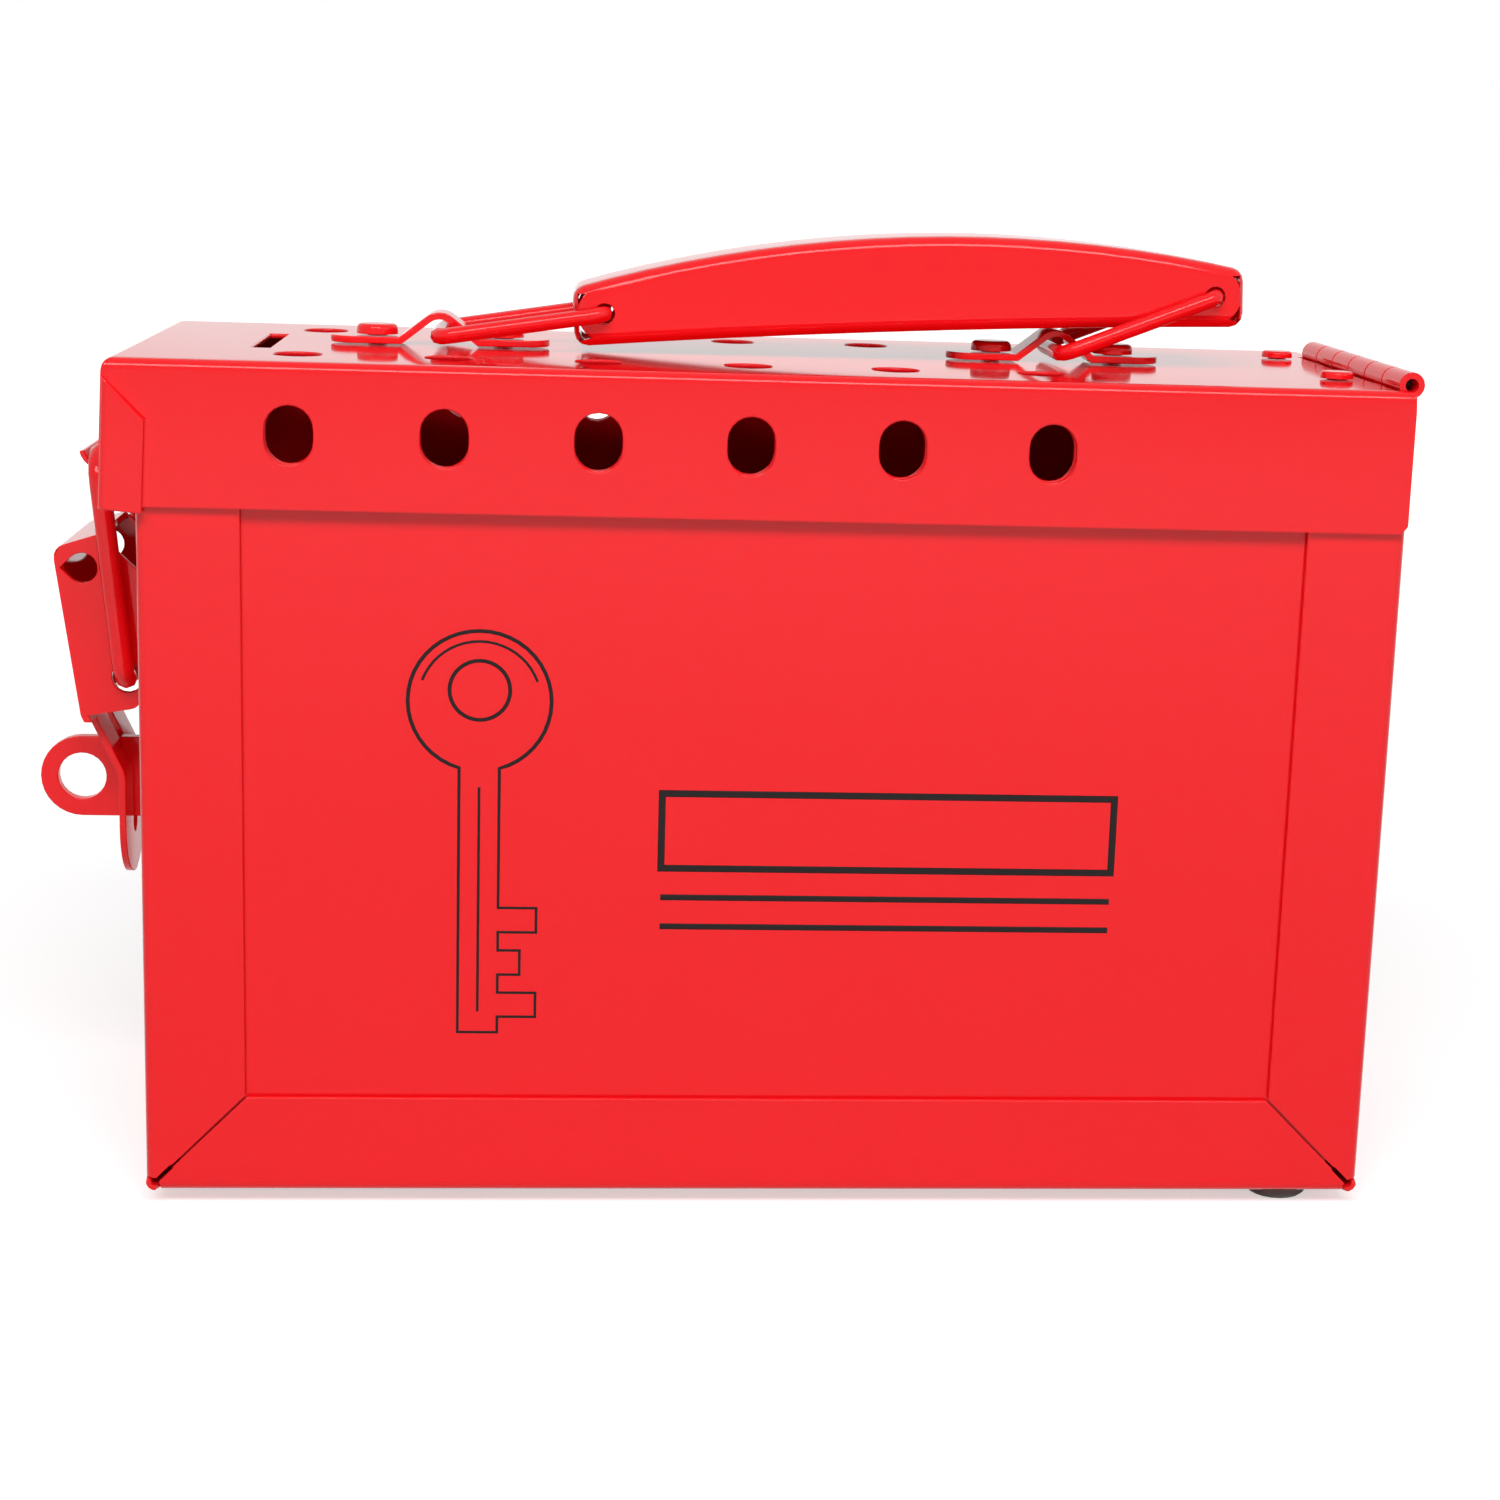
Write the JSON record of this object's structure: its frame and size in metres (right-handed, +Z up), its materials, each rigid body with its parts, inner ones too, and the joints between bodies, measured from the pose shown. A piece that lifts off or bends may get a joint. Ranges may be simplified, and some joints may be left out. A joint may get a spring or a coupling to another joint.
{
  "type": "group lockout box",
  "caption": "Folded sheet-steel lockout box with a hinged lid pierced by padlock holes, a drop handle on wire links and a padlockable toggle latch.",
  "frame": {"origin": "middle of the footprint, on the surface the rubber feet stand on", "axes": "+X along the box from the latch end to the hinge end, +Y from the front panel to the back panel, +Z up"},
  "size_m": [0.2534, 0.092, 0.1789],
  "materials": {
    "red_powder_coat": "glossy red powder coat",
    "grey_rubber": "matt grey rubber",
    "zinc_plated_steel": "zinc plated"
  },
  "bodies": {
    "case": {"body_wrap": "red_powder_coat", "front_panel": "red_powder_coat", "back_panel": "red_powder_coat", "hinge_leaf_body": "red_powder_coat", "hinge_pin": "zinc_plated_steel", "hinge_rivet_case_front": "red_powder_coat", "hinge_rivet_case_back": "red_powder_coat", "latch_bracket": "red_powder_coat", "bracket_rivet_front": "red_powder_coat", "bracket_rivet_back": "red_powder_coat", "latch_pin": "zinc_plated_steel", "padlock_staple": "red_powder_coat", "staple_rivet_lower": "red_powder_coat", "staple_rivet_upper": "red_powder_coat", "foot_front_left": "grey_rubber", "foot_front_right": "grey_rubber", "foot_back_left": "grey_rubber", "foot_back_right": "grey_rubber", "foot_rivet_front_left": "zinc_plated_steel", "foot_rivet_front_right": "zinc_plated_steel", "foot_rivet_back_left": "zinc_plated_steel", "foot_rivet_back_right": "zinc_plated_steel"},
    "lid": {"lid_shell": "red_powder_coat", "hinge_leaf_lid": "red_powder_coat", "hinge_rivet_lid_front": "red_powder_coat", "hinge_rivet_lid_back": "red_powder_coat", "handle_clip_left": "red_powder_coat", "handle_clip_right": "red_powder_coat", "clip_rivet_left_outer": "red_powder_coat", "clip_rivet_left_inner": "red_powder_coat", "clip_rivet_right_outer": "red_powder_coat", "clip_rivet_right_inner": "red_powder_coat", "lid_catch": "red_powder_coat", "catch_rivet_front": "red_powder_coat", "catch_rivet_back": "red_powder_coat"},
    "latch_lever": {"latch_lever": "red_powder_coat"},
    "bail": {"bail_wire": "red_powder_coat"},
    "link_left": {"handle_link_left": "red_powder_coat"},
    "link_right": {"handle_link_right": "red_powder_coat"},
    "grip": {"handle_grip": "red_powder_coat"}
  },
  "joints": [
    {"name": "lid_hinge", "type": "hinge", "parent": "case", "child": "lid", "pos_m": [0.1243, 0, 0.1562], "axis": [0, 1, 0], "range_deg": [0, 210]},
    {"name": "latch_lever", "type": "hinge", "parent": "case", "child": "latch_lever", "pos_m": [-0.1096, 0, 0.1065], "axis": [0, 1, 0], "range_deg": [0, 42]},
    {"name": "bail", "type": "hinge", "parent": "lid", "child": "bail", "pos_m": [-0.11191, 0, 0.135], "axis": [0, 1, 0], "range_deg": [0, 13.1]},
    {"name": "link_left", "type": "hinge", "parent": "lid", "child": "link_left", "pos_m": [-0.0509, 0, 0.1577], "axis": [0, -1, 0], "range_deg": [0, 79]},
    {"name": "link_right", "type": "hinge", "parent": "lid", "child": "link_right", "pos_m": [0.0657, 0, 0.1577], "axis": [0, -1, 0], "range_deg": [0, 69.7]},
    {"name": "grip", "type": "hinge", "parent": "link_left", "child": "grip", "pos_m": [-0.02021, 0, 0.16273], "axis": [0, -1, 0], "range_deg": [-82.2, 0]}
  ],
  "couplings": [
    {"joint": "bail", "follows": "latch_lever", "ratio": 0.31},
    {"joint": "link_right", "follows": "link_left", "ratio": 0.8816},
    {"joint": "grip", "follows": "link_left", "ratio": -1.0405}
  ]
}
